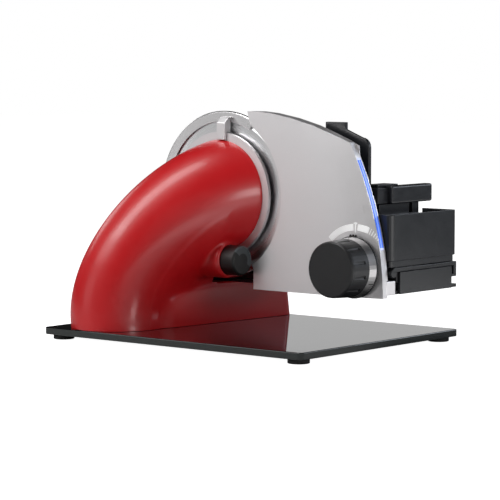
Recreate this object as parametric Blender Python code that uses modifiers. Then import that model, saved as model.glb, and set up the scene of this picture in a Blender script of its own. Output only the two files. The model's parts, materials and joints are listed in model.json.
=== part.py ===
"""Household food slicer with a hook-shaped motor housing on a glass base.

Frame: +X is the user's right, +Y points away from the user, +Z is up. The origin is on the
table, under the middle of the glass base. The helpers take millimetres and build in metres.

The blade turns about the X axis line through (BLADE_Y, BLADE_Z). The stop plate stands in front
of it, moves along -X to open the slice thickness, and carries the dial on its left face. The
carriage runs along Y on a black extruded rail to the right of the blade.
"""
from math import atan2, cos, pi, radians, sin

import bmesh
import bpy
from mathutils import Matrix, Vector

MM = 0.001
GAP = 0.3            # clearance kept between touching pieces
WELD = 0.00001       # metres
FLAT = 0.002         # radians under which the triangles of a flat end are one face

# Driving dimensions, in millimetres
BASE_WIDTH = 263.0
BASE_DEPTH = 345.0
GLASS_THICKNESS = 7.5
FOOT_HEIGHT = 5.0
GLASS_TOP = FOOT_HEIGHT + GLASS_THICKNESS
FRONT = -BASE_DEPTH / 2

BLADE_RADIUS = 85.0
BLADE_Y = 44.7
BLADE_Z = 150.0
BLADE_LEFT = 12.0
BLADE_RIGHT = 14.0

TUBE_END_X = 3.4
TUBE_RADIUS = 58.0
LEG_RADIUS = 47.5
LEG_X = -83.3
LEG_Y = 113.1
WALL = 3.0
HOUSING_BOTTOM = GLASS_TOP + GAP
FOOT_TOP = 56.2

POD_X = -16.0
POD_Z = 84.0
POD_RADIUS = 19.0
BUTTON_RADIUS = 15.5

FLANGE_RADIUS = 66.0
FLANGE_X = 8.5
RING_INNER = 77.0
RING_OUTER = 88.0
RING_LEFT = 9.7

STOP_LEFT = -1.8
STOP_RIGHT = 13.7
STOP_BOTTOM = 53.5
STOP_REAR = -5.5
STOP_ARC = 87.0
FACE_PLATE = 1.7     # thickness of the ribbed plate on the food side

DIAL_Y = -137.0
DIAL_Z = 84.0
DIAL_RADIUS = 31.5

RAIL_LEFT = 25.5
RAIL_RIGHT = 131.2
RAIL_HEAD = 123.3     # right side of the rail above its groove
RAIL_BOTTOM = 56.5
RAIL_TOP = 79.0
RAIL_FRONT = -169.5
RAIL_REAR = 150.0
SHAFT_Z = 67.75
SHAFT_YS = (-130.0, -50.0)
SHAFT_RADIUS = 4.0

CARRIAGE_FRONT = -171.5
CARRIAGE_REAR = -25.0
CARRIAGE_LEFT = 15.0
CARRIAGE_RIGHT = 127.2
SKIRT_RIGHT = 128.4
FLOOR_BOTTOM = 79.4
FLOOR_TOP = 83.5
WALL_BOTTOM = 90.5
WALL_TOP = 137.2

MOTOR_Y = 72.0
MOTOR_Z = 124.0
LAY_TO_BLADE = 30.0
LAY_TO_MOTOR = 24.0

FINISHES = {
    # name: (colour, roughness, metallic)
    "red_lacquer": ((0.50, 0.006, 0.012), 0.18, 0.0),
    "black_glass": ((0.008, 0.008, 0.009), 0.06, 0.0),
    "black_plastic": ((0.012, 0.012, 0.013), 0.35, 0.0),
    "soft_black": ((0.010, 0.010, 0.011), 0.55, 0.0),
    "black_aluminium": ((0.020, 0.020, 0.022), 0.40, 0.8),
    "satin_silver": ((0.62, 0.60, 0.60), 0.36, 0.9),
    "blade_steel": ((0.72, 0.72, 0.73), 0.12, 1.0),
    "brushed_steel": ((0.60, 0.60, 0.61), 0.28, 1.0),
    "grey_plastic": ((0.42, 0.41, 0.41), 0.45, 0.0),
    "blue_light": ((0.03, 0.10, 0.70), 0.20, 0.0),
    "rubber": ((0.015, 0.015, 0.015), 0.80, 0.0),
    "copper": ((0.45, 0.16, 0.07), 0.40, 0.6),
    "steel": ((0.45, 0.45, 0.46), 0.35, 1.0),
    "nylon": ((0.75, 0.73, 0.66), 0.50, 0.0),
    "circuit_green": ((0.02, 0.16, 0.05), 0.45, 0.0),
}


# ---------------------------------------------------------------- helpers

def clear_scene():
    for obj in list(bpy.data.objects):
        bpy.data.objects.remove(obj, do_unlink=True)


def new_collection(name):
    collection = bpy.data.collections.new(name)
    bpy.context.scene.collection.children.link(collection)
    return collection


def finish(obj, kind):
    """Give a piece its own Principled material."""
    colour, roughness, metallic = FINISHES[kind]
    material = bpy.data.materials.new(obj.name + "_" + kind)
    material.use_nodes = True
    shader = material.node_tree.nodes["Principled BSDF"]
    shader.inputs["Base Color"].default_value = (*colour, 1.0)
    shader.inputs["Roughness"].default_value = roughness
    shader.inputs["Metallic"].default_value = metallic
    obj.data.materials.clear()
    obj.data.materials.append(material)


def attach(obj, parent):
    """Parent a piece to its joint's empty without moving it."""
    if parent is not None:
        obj.parent = parent
        obj.location = obj.location - world_place[parent.name]


def new_object(name, mesh, at=(0, 0, 0), turn=(0, 0, 0), kind=None, parent=None):
    """Link a mesh as a piece, or as a hidden cutter when it has no finish."""
    obj = bpy.data.objects.new(name, mesh)
    obj.location = Vector(at) * MM
    obj.rotation_euler = [radians(a) for a in turn]
    if kind is None:
        cutters.objects.link(obj)
        obj.hide_render = True
        obj.display_type = 'WIRE'
    else:
        slicer.objects.link(obj)
        finish(obj, kind)
        attach(obj, parent)
    return obj


def joint_empty(name, at, parent=None):
    empty = bpy.data.objects.new(name, None)
    empty.empty_display_size = 0.02
    slicer.objects.link(empty)
    world_place[name] = Vector(at) * MM
    empty.location = world_place[name].copy()
    if parent is not None:
        empty.parent = parent
        empty.location = world_place[name] - world_place[parent.name]
    return empty


def smooth(obj, angle=35):
    obj.data.shade_smooth()
    obj.data.set_sharp_from_angle(angle=radians(angle))
    return obj


def bevel(obj, width, segments=2, angle=30):
    if width > 0:
        modifier = obj.modifiers.new("rounded_edges", 'BEVEL')
        modifier.width = width * MM
        modifier.segments = segments
        modifier.limit_method = 'ANGLE'
        modifier.angle_limit = radians(angle)
    return obj


def boolean(obj, operation, *others):
    for other in others:
        modifier = obj.modifiers.new(operation.lower() + "_" + other.name, 'BOOLEAN')
        modifier.operation = operation
        modifier.solver = 'EXACT'
        modifier.object = other
    return obj


def cut(obj, *cutter_objects):
    return boolean(obj, 'DIFFERENCE', *cutter_objects)


def join(obj, *added_objects):
    return boolean(obj, 'UNION', *added_objects)


def block(name, low, high, kind=None, parent=None, round_by=0.0, segments=2):
    """A box from its low corner to its high corner."""
    low, high = Vector(low), Vector(high)
    bm = bmesh.new()
    bmesh.ops.create_cube(bm, size=1.0)
    bmesh.ops.scale(bm, vec=(high - low) * MM, verts=bm.verts)
    mesh = bpy.data.meshes.new(name)
    bm.to_mesh(mesh)
    bm.free()
    obj = new_object(name, mesh, (low + high) / 2, (0, 0, 0), kind, parent)
    return bevel(obj, round_by, segments)


AXIS_TURNS = {"X": (0, 90, 0), "Y": (-90, 0, 0), "Z": (0, 0, 0)}


def rod(name, axis, centre, radius, start, end, kind=None, parent=None, round_by=0.0,
        sides=32, end_radius=None):
    """A cylinder or cone along an axis, between two places on that axis."""
    length = end - start
    bm = bmesh.new()
    bmesh.ops.create_cone(bm, cap_ends=True, segments=sides, radius1=radius * MM,
                          radius2=(radius if end_radius is None else end_radius) * MM,
                          depth=length * MM)
    mesh = bpy.data.meshes.new(name)
    bm.to_mesh(mesh)
    bm.free()
    index = "XYZ".index(axis)
    at = list(centre)
    at[index] = (start + end) / 2
    obj = new_object(name, mesh, at, AXIS_TURNS[axis], kind, parent)
    return smooth(bevel(obj, round_by))


def turned(name, outline, centre, kind=None, parent=None, steps=64):
    """Revolve a closed outline of (place along X, radius) about an X axis line."""
    area = sum(a[1] * b[0] - b[1] * a[0] for a, b in zip(outline, outline[1:] + outline[:1]))
    points = outline if area < 0 else outline[::-1]
    mesh = bpy.data.meshes.new(name)
    bm = bmesh.new()
    verts = [bm.verts.new((r * MM, 0, x * MM)) for x, r in points]
    for a, b in zip(verts, verts[1:] + verts[:1]):
        bm.edges.new((a, b))
    bm.to_mesh(mesh)
    bm.free()
    obj = new_object(name, mesh, (0, centre[0], centre[1]), AXIS_TURNS["X"], kind, parent)
    screw = obj.modifiers.new("turned", 'SCREW')
    screw.steps = steps
    screw.render_steps = steps
    screw.use_smooth_shade = True
    screw.use_merge_vertices = True
    screw.merge_threshold = WELD
    return obj


def plate(name, outline, axis, start, end, kind=None, parent=None, origin=(0, 0, 0), hole=None):
    """Extrude a flat outline along an axis. Outlines are (Y, Z), (X, Z) or (X, Y) pairs.

    The piece's own origin is put at the given place, so that it can sit on a joint's axis.
    """
    curve = bpy.data.curves.new(name, 'CURVE')
    curve.dimensions = '2D'
    curve.fill_mode = 'BOTH'
    curve.extrude = (end - start) / 2 * MM
    for loop in (outline, hole):
        if loop is None:
            continue
        spline = curve.splines.new('POLY')
        spline.points.add(len(loop) - 1)
        for point, (u, v) in zip(spline.points, loop):
            point.co = (u * MM, v * MM, 0, 1)
        spline.use_cyclic_u = True
    drawn = bpy.data.objects.new(name + "_outline", curve)
    drawn.rotation_euler = {"X": (pi / 2, 0, pi / 2), "Y": (pi / 2, 0, 0), "Z": (0, 0, 0)}[axis]
    middle = [0, 0, 0]
    middle["XYZ".index(axis)] = (start + end) / 2 * MM
    drawn.location = middle
    cutters.objects.link(drawn)
    bpy.context.view_layer.update()
    solid = bpy.data.meshes.new_from_object(
        drawn.evaluated_get(bpy.context.evaluated_depsgraph_get()))
    shift = Matrix.Translation(Vector(origin) * -MM) @ drawn.matrix_world
    bm = bmesh.new()
    bm.from_mesh(solid)
    bmesh.ops.remove_doubles(bm, verts=bm.verts, dist=WELD)
    bmesh.ops.transform(bm, matrix=shift, verts=bm.verts)
    bmesh.ops.dissolve_limit(bm, angle_limit=FLAT, verts=bm.verts, edges=bm.edges)
    bmesh.ops.recalc_face_normals(bm, faces=bm.faces)
    bm.to_mesh(solid)
    bm.free()
    bpy.data.objects.remove(drawn, do_unlink=True)
    solid.name = name
    return new_object(name, solid, origin, (0, 0, 0), kind, parent)


def loft(name, rings, kind=None, parent=None):
    """Bridge closed rings of equal point count and cap both ends."""
    bm = bmesh.new()
    loops = [[bm.verts.new(Vector(p) * MM) for p in ring] for ring in rings]
    count = len(rings[0])
    for lower, upper in zip(loops, loops[1:]):
        for i in range(count):
            j = (i + 1) % count
            bm.faces.new((lower[i], lower[j], upper[j], upper[i]))
    bm.faces.new(loops[0])
    bm.faces.new(loops[-1])
    bmesh.ops.recalc_face_normals(bm, faces=bm.faces)
    mesh = bpy.data.meshes.new(name)
    bm.to_mesh(mesh)
    bm.free()
    return new_object(name, mesh, (0, 0, 0), (0, 0, 0), kind, parent)


def arc(centre, radius, start, end, steps):
    """Points on an arc, by degrees, both ends included."""
    points = []
    for i in range(steps + 1):
        a = radians(start + (end - start) * i / steps)
        points.append((centre[0] + radius * cos(a), centre[1] + radius * sin(a)))
    return points


def rounded_rectangle(low, high, radius, steps=4):
    (x0, y0), (x1, y1) = low, high
    return (arc((x1 - radius, y0 + radius), radius, -90, 0, steps)
            + arc((x1 - radius, y1 - radius), radius, 0, 90, steps)
            + arc((x0 + radius, y1 - radius), radius, 90, 180, steps)
            + arc((x0 + radius, y0 + radius), radius, 180, 270, steps))


def around_blade(angle, radius):
    """(Y, Z) of a point round the blade's axis; 0 degrees is straight back, 90 is up."""
    return (BLADE_Y + radius * cos(radians(angle)), BLADE_Z + radius * sin(radians(angle)))


# ---------------------------------------------------------------- base

BASE_SCREWS = ((-84.0, 110.0), (20.0, 70.0), (105.0, 95.0))


def glass_base():
    outline = rounded_rectangle((-BASE_WIDTH / 2, FRONT), (BASE_WIDTH / 2, -FRONT), 5.0)
    base = plate("base_plate", outline, "Z", FOOT_HEIGHT, GLASS_TOP, "black_glass")
    holes = [rod(f"base_hole_{i}", "Z", (x, y, 0), 3.3, 0, 30)
             for i, (x, y) in enumerate(BASE_SCREWS)]
    bevel(base, 0.8, 2, 40)
    cut(base, *holes)
    return base


def base_feet():
    inset = 15.0
    for side, x in (("left", -BASE_WIDTH / 2 + inset), ("right", BASE_WIDTH / 2 - inset)):
        for end, y in (("front", FRONT + inset), ("rear", -FRONT - inset)):
            rod(f"foot_{end}_{side}", "Z", (x, y, 0), 11.0, 0, FOOT_HEIGHT - GAP, "rubber",
                round_by=0.8)


def headed_screw(name, x, y, radius, head_radius, bottom, head_top, top):
    """Upright screw, head down, as one turned piece."""
    outline = [(bottom, 0.0), (bottom, head_radius), (head_top, head_radius), (head_top, radius),
               (top, radius), (top, 0.0)]
    screw = turned(name, outline, (0, 0), "steel", None, 20)
    screw.rotation_euler = (0, 0, 0)
    screw.location = Vector((x, y, 0)) * MM


def base_screws():
    """Screws clamping the housing and its floor plate to the glass from below."""
    for i, (x, y) in enumerate(BASE_SCREWS):
        headed_screw(f"base_screw_{i + 1}", x, y, 2.9, 5.5, 2.2, FOOT_HEIGHT - GAP, 17.5)


# ---------------------------------------------------------------- motor housing

HOOK_PIVOT = Vector((TUBE_END_X, 0, HOUSING_BOTTOM))
HOOK_DIP = (-36.0, 15.0)      # how the middle line strays from an even spiral, and its skew
HOOK_BACK = (0.9, -0.5)       # the same for its run towards the rear
HOOK_WAIST = -8.0             # how much slimmer the hook is half way
WEB_INSET = 0.6               # how far the fairing lies behind the hook's foremost line
WEB_RETREAT = 24.0
WEB_RETREAT_X = -30.0
WEB_FALL = 36.0               # shortest reach over which the fairing leans back to the foot


def even_and_skew(u, even, skew):
    return even * u * (1 - u) + skew * u * (1 - u) * (1 - 2 * u)


def hook_section(u):
    """Distance from the pivot, Y of the middle line and radius, part of the way round the hook."""
    start, end = BLADE_Z - HOUSING_BOTTOM, TUBE_END_X - LEG_X
    reach = start + (end - start) * u + even_and_skew(u, *HOOK_DIP)
    back = BLADE_Y + (LEG_Y - BLADE_Y) * (u + even_and_skew(u, *HOOK_BACK))
    radius = TUBE_RADIUS + (LEG_RADIUS - TUBE_RADIUS) * u + even_and_skew(u, HOOK_WAIST, 0)
    return reach, back, radius


def hook_ring(u, shrink, sides):
    """Ring of the hook, in a plane fanned about the pivot: upright at u = 0, level at u = 1."""
    angle = u * pi / 2
    out = Vector((-sin(angle), 0, cos(angle)))
    reach, back, radius = hook_section(u)
    centre = HOOK_PIVOT + out * reach
    centre.y = back
    radius -= shrink
    return [centre + Vector((0, cos(a), 0)) * radius + out * sin(a) * radius
            for a in (2 * pi * k / sides for k in range(sides))]


def hook_rings(shrink, stretch, ring_count=15, sides=36):
    """Rings along the hook; shrink insets them, stretch runs them past both ends."""
    rings = [hook_ring(i / (ring_count - 1), shrink, sides) for i in range(ring_count)]
    if stretch:
        first = [p + Vector((stretch, 0, 0)) for p in rings[0]]
        last = [p - Vector((0, 0, stretch)) for p in rings[-1]]
        rings = [first] + rings + [last]
    return rings


def foot_front(x):
    """Y of the foot's front wall, which runs a little aslant."""
    return 65.3 - 0.0975 * (x + 80.0)


def foot_outline(inset, lean):
    """Plan of the low foot that runs to the right under the rail; lean draws the end in."""
    right = 130.0 - lean - inset
    corner = 9.0
    front_at_right = 46.0 + inset
    rear_at_right = 141.0 - inset
    return ([(LEG_X + 2, 65.9 + inset)]
            + arc((right - corner, front_at_right + corner), corner, -92, 0, 5)
            + arc((right - corner, rear_at_right - corner), corner, 0, 92, 5)
            + [(LEG_X + 2, 155.8 - inset)])


def foot_block(name, inset, bottom, top):
    rings = []
    for z, lean in ((bottom, 0.0), (top, 6.0)):
        rings.append([(x, y, z) for x, y in foot_outline(inset, lean)])
    return loft(name, rings)


def ease(t):
    """Smooth step from 0 to 1."""
    t = min(max(t, 0.0), 1.0)
    return t * t * (3 - 2 * t)


def web_front(x, z):
    """Y of the fairing that leans from the foot's front wall out to the hook's foremost line.

    Near the hook's open end it draws back, so that the hook is round there.
    """
    turn = atan2(TUBE_END_X - x, z - HOUSING_BOTTOM)
    reach, back, radius = hook_section(turn / (pi / 2))
    line_z = HOUSING_BOTTOM + reach * cos(turn)
    line_y = back - radius + WEB_RETREAT * ease((x - WEB_RETREAT_X) / (TUBE_END_X - WEB_RETREAT_X))
    out = ((TUBE_END_X - x) ** 2 + (z - HOUSING_BOTTOM) ** 2) ** 0.5
    fall = ((max(line_z - FOOT_TOP, 0.0) / max(cos(turn), 0.3)) ** 2 + WEB_FALL ** 2) ** 0.5
    share = min(max((reach - out) / fall, 0.0), 1.0)
    return line_y + (foot_front(x) - line_y) * ease(share ** 1.5)


def middle_line_x(z):
    """X of the hook's middle line at a height, found by halving."""
    low, high = 0.0, 1.0
    for _ in range(30):
        u = (low + high) / 2
        if HOUSING_BOTTOM + hook_section(u)[0] * cos(u * pi / 2) > z:
            low = u
        else:
            high = u
    return TUBE_END_X - hook_section(low)[0] * sin(low * pi / 2)


def web_block(name, inset, bottom):
    """The fairing that fills the inside of the hook, above the foot."""
    columns = 9
    rings = []
    for z in (bottom, 44.0, 58.0, 71.0, 84.0, 97.0, 109.0, 119.0, 127.0):
        left = middle_line_x(z) + 3.0
        right = TUBE_END_X - inset - WEB_INSET
        xs = [left + (right - left) * i / (columns - 1) for i in range(columns)]
        front = [(x, web_front(x, z) + WEB_INSET + inset, z) for x in xs]
        rear = [(x, 134.0 - 0.47 * (x + 78.3) - inset, z) for x in xs[::-1]]
        rings.append(front + rear)
    return loft(name, rings)


def motor_housing():
    housing = loft("motor_housing", hook_rings(0, 0), "red_lacquer")
    foot = foot_block("foot_outer", 0.0, HOUSING_BOTTOM, FOOT_TOP)
    web = web_block("web_outer", 0.0, 30.0)
    pod = rod("pod_outer", "Y", (POD_X, 0, POD_Z), POD_RADIUS, 15.0, 70.0, sides=40)
    join(housing, foot, web, pod)
    hollow_tube = loft("tube_hollow", hook_rings(WALL, 6.0))
    hollow_foot = foot_block("foot_hollow", WALL, HOUSING_BOTTOM - 4, FOOT_TOP - WALL)
    hollow_web = web_block("web_hollow", WALL, 28.0)
    button_bore = rod("button_bore", "Y", (POD_X, 0, POD_Z), BUTTON_RADIUS + 0.5, 5.0, 74.0,
                      sides=40)
    gland_hole = rod("gland_hole", "Y", (60, 0, 30), 5.3, 120, 170)
    cut(housing, hollow_tube, hollow_foot, hollow_web, button_bore, gland_hole)
    cut(housing, *[rod(f"rail_hole_{i}", "Z", (x, y, 0), 2.4, 45, 70, sides=16)
                   for i, (x, y) in enumerate(RAIL_SCREWS)])
    return smooth(housing, 40)


def floor_plate():
    """Steel plate inside the foot that the base screws pull down on the glass."""
    outline = [(LEG_X + 6, 72.0), (112.0, 55.0), (122.0, 64.0), (122.0, 124.0),
               (112.0, 133.0), (LEG_X + 6, 149.0)] + arc((LEG_X + 6, 110.6), 37.0, 110, 250, 8)
    floor = plate("floor_plate", outline, "Z", 13.6, 16.1, "steel")
    holes = [rod(f"floor_hole_{i}", "Z", (x, y, 0), 3.2, 10, 20, sides=16)
             for i, (x, y) in enumerate(BASE_SCREWS)]
    return cut(floor, *holes)


def cable_gland():
    """Bushing in the rear wall where the mains cord enters."""
    return turned_y("cable_gland", [(140.0, 3.2), (140.0, 5.0), (148.6, 5.0), (148.6, 8.5),
                                    (151.0, 8.5), (160.0, 5.0), (160.0, 3.2)],
                    60.0, 30.0, "rubber")


def turned_y(name, outline, x, z, kind, parent=None):
    """As turned, but about a line along Y."""
    obj = turned(name, outline, (0, 0), kind, None, 32)
    obj.rotation_euler = [radians(a) for a in AXIS_TURNS["Y"]]
    obj.location = Vector((x, 0, z)) * MM
    attach(obj, parent)
    return obj


# ---------------------------------------------------------------- drive

def lay_place():
    """(Y, Z) of the layshaft, one mesh distance from the axle and another from the motor."""
    across = Vector((MOTOR_Y - BLADE_Y, MOTOR_Z - BLADE_Z))
    along = (LAY_TO_BLADE ** 2 - LAY_TO_MOTOR ** 2 + across.length_squared) / 2 / across.length
    aside = (LAY_TO_BLADE ** 2 - along ** 2) ** 0.5
    way = across.normalized()
    return (BLADE_Y + along * way.x - aside * way.y, BLADE_Z + along * way.y + aside * way.x)


def gear_outline(tip, root, teeth, centre):
    points = []
    for i in range(teeth):
        for part, radius in ((0.0, root), (0.22, root), (0.34, tip), (0.66, tip), (0.78, root)):
            a = 2 * pi * (i + part) / teeth
            points.append((centre[0] + radius * cos(a), centre[1] + radius * sin(a)))
    return points


def gear(name, centre, tip, depth, teeth, start, end, bore, kind, parent):
    wheel = plate(name, gear_outline(tip, tip - depth, teeth, centre), "X", start, end, kind,
                  parent, (0, *centre))
    hole = rod(name + "_bore", "X", (0, *centre), bore, start - 2, end + 2, sides=20)
    return cut(wheel, hole)


def flange():
    """Light plate that closes the hook, with the front bearing seat."""
    outline = [(3.7, 50.0), (0.5, 50.0), (0.5, 47.0), (3.7, 47.0), (3.7, 18.0),
               (1.0, 18.0), (1.0, 11.4), (FLANGE_X, 11.4), (FLANGE_X, FLANGE_RADIUS - 1.2),
               (FLANGE_X - 1.2, FLANGE_RADIUS), (3.7, FLANGE_RADIUS)]
    piece = turned("gear_flange", outline, (BLADE_Y, BLADE_Z), "satin_silver", None, 56)
    lay_y, lay_z = lay_place()
    return cut(piece, rod("lay_seat", "X", (0, lay_y, lay_z), 3.3, 0, 6.0, sides=20))


def bearing_plate():
    """Inner plate that carries the rear ends of the axle, the layshaft and the motor."""
    centre = (59.0, 142.5)
    piece = plate("bearing_plate", arc(centre, 41.5, 0, 360, 40)[:-1], "X", -19.7, -17.6,
                  "steel")
    lay = lay_place()
    cut(piece, rod("plate_axle_hole", "X", (0, BLADE_Y, BLADE_Z), 8.3, -25, -10, sides=24),
        rod("plate_lay_hole", "X", (0, *lay), 3.3, -25, -10, sides=20),
        rod("plate_motor_hole", "X", (0, MOTOR_Y, MOTOR_Z), 7.0, -25, -10, sides=24))
    return piece


def bearings():
    turned("bearing_front", [(1.3, 5.3), (8.2, 5.3), (8.2, 11.1), (1.3, 11.1)],
           (BLADE_Y, BLADE_Z), "steel", None, 32)
    turned("bush_rear", [(-20.0, 5.3), (-14.0, 5.3), (-14.0, 8.0), (-20.0, 8.0)],
           (BLADE_Y, BLADE_Z), "copper", None, 32)


def motor():
    """Induction motor: wound stator, and a rotor with its shaft and pinion."""
    place = (MOTOR_Y, MOTOR_Z)
    turned("motor_stator", [(-62.0, 18.0), (-22.5, 18.0), (-22.5, 29.5), (-62.0, 29.5)],
           place, "steel", None, 32)
    rotor = joint_empty("rotor_axis", (0, *place))
    turned("motor_rotor", [(-58.0, 3.3), (-27.0, 3.3), (-27.0, 16.0), (-58.0, 16.0)],
           place, "steel", rotor, 32)
    rod("motor_shaft", "X", (0, *place), 3.0, -66.5, -8.5, "steel", rotor)
    gear("motor_pinion", place, 5.7, 1.2, 12, -16.5, -9.5, 3.3, "steel", rotor)


def layshaft():
    place = lay_place()
    axis = joint_empty("layshaft_axis", (0, *place))
    rod("layshaft", "X", (0, *place), 3.0, -19.5, 5.7, "steel", axis)
    gear("layshaft_gear", place, 17.6, 1.6, 36, -16.0, -10.0, 3.3, "nylon", axis)
    gear("layshaft_pinion", place, 5.7, 1.2, 12, -8.5, -2.0, 3.3, "steel", axis)


def blade_group():
    place = (BLADE_Y, BLADE_Z)
    axis = joint_empty("blade_axis", (0, *place))
    axle = rod("blade_axle", "X", (0, *place), 5.0, -19.5, BLADE_RIGHT - 0.8, "steel", axis)
    cut(axle, rod("axle_socket", "X", (0, *place), 3.2, 4.0, 20.0, sides=24))
    gear("blade_gear", place, 23.9, 1.7, 48, -8.0, -2.5, 5.3, "nylon", axis)
    turned("blade", [(BLADE_LEFT, 5.4), (BLADE_LEFT, 78.0), (BLADE_RIGHT - 0.2, BLADE_RADIUS),
                     (BLADE_RIGHT, BLADE_RADIUS - 0.3), (BLADE_RIGHT, 64.0), (13.4, 48.0),
                     (13.4, 5.4)], place, "blade_steel", axis, 96)
    turned("blade_hub", [(8.9, 5.3), (11.7, 5.3), (11.7, 30.0), (10.2, 30.0), (8.9, 22.0)],
           place, "black_plastic", axis, 40)
    lock = joint_empty("blade_screw_axis", (0, *place), axis)
    screw = turned("blade_screw", [(4.6, 0.0), (4.6, 2.9), (BLADE_RIGHT, 2.9),
                                   (BLADE_RIGHT, 15.0), (16.2, 14.2), (17.3, 11.0), (17.3, 0.0)],
                   place, "black_plastic", lock, 36)
    slot = block("coin_slot", (15.6, BLADE_Y - 9, BLADE_Z - 1.3), (19, BLADE_Y + 9, BLADE_Z + 1.3))
    cut(screw, slot)


def guard_ring():
    """Fixed ring round the part of the blade that does not cut."""
    place = (BLADE_Y, BLADE_Z)
    outline = [(RING_LEFT, RING_INNER), (RING_LEFT, RING_OUTER - 1.0),
               (RING_LEFT + 1.0, RING_OUTER), (BLADE_RIGHT, RING_OUTER),
               (BLADE_RIGHT, RING_OUTER - 1.6), (11.3, RING_OUTER - 1.6), (11.3, RING_INNER)]
    ring = turned("guard_ring", outline, place, "brushed_steel", None, 96)
    reach = 130.0
    wedge = ([place] + [around_blade(a, reach) for a in (117, 140, 180, 210, 242)])
    return cut(ring, plate("ring_gap", wedge, "X", 0, 30))


def ring_brackets():
    """Two clips that hold the ring: one off the top of the hook, one off the flange's rim."""
    top = [(-0.6, 58.6), (3.2, 58.6), (3.2, 67.0), (9.4, 67.0), (9.4, 82.0), (5.0, 82.0),
           (-0.6, 76.0)]
    rear = [(4.0, 66.4), (9.4, 66.4), (9.4, 82.0), (5.0, 82.0), (4.0, 76.0)]
    half = 5.5
    for name, outline, angle in (("ring_bracket_top", top, 93.5),
                                 ("ring_bracket_rear", rear, -35.0)):
        clip = plate(name, outline, "Y", -half, half, "brushed_steel")
        clip.location = Vector((0, BLADE_Y, BLADE_Z)) * MM
        clip.rotation_euler = (radians(angle - 90), 0, 0)


def small_internals():
    rod("run_capacitor", "X", (0, 85, 33), 14.0, 30.0, 85.0, "black_plastic", round_by=1.0)
    block("control_board", (10, 113, 19), (72, 114.6, 48), "circuit_green")


# ---------------------------------------------------------------- power button

def power_button():
    press = joint_empty("button_axis", (POD_X, -3.0, POD_Z))
    rod("power_button", "Y", (POD_X, 0, POD_Z), BUTTON_RADIUS, -3.0, 45.0, "soft_black", press,
        round_by=2.0, sides=40)
    turned_y("button_spring", [(49.4, 5.0), (49.4, 6.5), (56.6, 6.5), (56.6, 5.0)],
             POD_X, POD_Z, "steel")
    block("button_switch", (POD_X - 11, 57.0, POD_Z - 11), (POD_X + 11, 74.0, POD_Z + 8.5),
          "black_plastic", round_by=0.8)


# ---------------------------------------------------------------- stop plate

def nose(z):
    """Y of the stop plate's front edge, which leans back as it rises."""
    return -169.0 + 0.0030 * max(z - STOP_BOTTOM - 3.0, 0.0) ** 1.9


def stop_blank(name, inset, left, right, kind=None, parent=None, bottom=None, top=None):
    """Loft of plan sections whose left side curves in towards the leaning front edge."""
    bottom = STOP_BOTTOM - 4 if bottom is None else bottom
    top = 246.0 if top is None else top
    curve_depth, curve_length, rows = 6.0, 60.0, 12
    rings = []
    for i in range(rows + 1):
        z = bottom + (top - bottom) * i / rows
        front = nose(z) + inset
        ring = []
        for k in range(7):
            along = curve_length * k / 6
            bend = curve_depth * (1 - k / 6) ** 2
            ring.append((left + bend, front + along, z))
        ring += [(left, 30.0, z), (right, 30.0, z), (right, front, z)]
        rings.append(ring)
    return loft(name, rings, kind, parent)


def stop_outline(inset=0.0):
    """Side view of the stop plate, (Y, Z): arched top and a round bite for the blade."""
    top_front = (-132.4 + inset, 206.3 - inset)
    top_middle = (-83.6, 225.3 - inset)
    top_rear = (-28.7, 237.0 - inset)
    front = [(nose(z) + inset, z) for z in (53.5 + inset, 75.0, 100.0, 125.0, 150.0, 175.0, 196.0)]
    bite = [around_blade(a, STOP_ARC + inset) for a in
            [124 + (234.8 - 124) * i / 20 for i in range(21)]]
    bite = [p for p in bite if p[0] < STOP_REAR + 0.5 - inset or p[1] > BLADE_Z]
    return (front + [top_front, (-122.0, 211.2 - inset), (-104.0, 218.0 - inset), top_middle,
                     (-56.0, 232.3 - inset), top_rear, (-12.0, 238.4 - inset),
                     (2.6 - inset, 238.4 - inset), (0.4 - inset, 228.0)]
            + bite + [(STOP_REAR - inset, 78.0), (STOP_REAR - inset, STOP_BOTTOM + inset)])


def strip_rings(half_width, depth, z_low, z_high, proud):
    """Sections of the light strip, following the leaning front edge."""
    middle, rows = 8.3, 8
    rings = []
    for i in range(rows + 1):
        z = z_low + (z_high - z_low) * i / rows
        y = nose(z)
        rings.append([(middle - half_width, y - proud, z), (middle + half_width, y - proud, z),
                      (middle + half_width, y + depth, z), (middle - half_width, y + depth, z)])
    return rings


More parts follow.
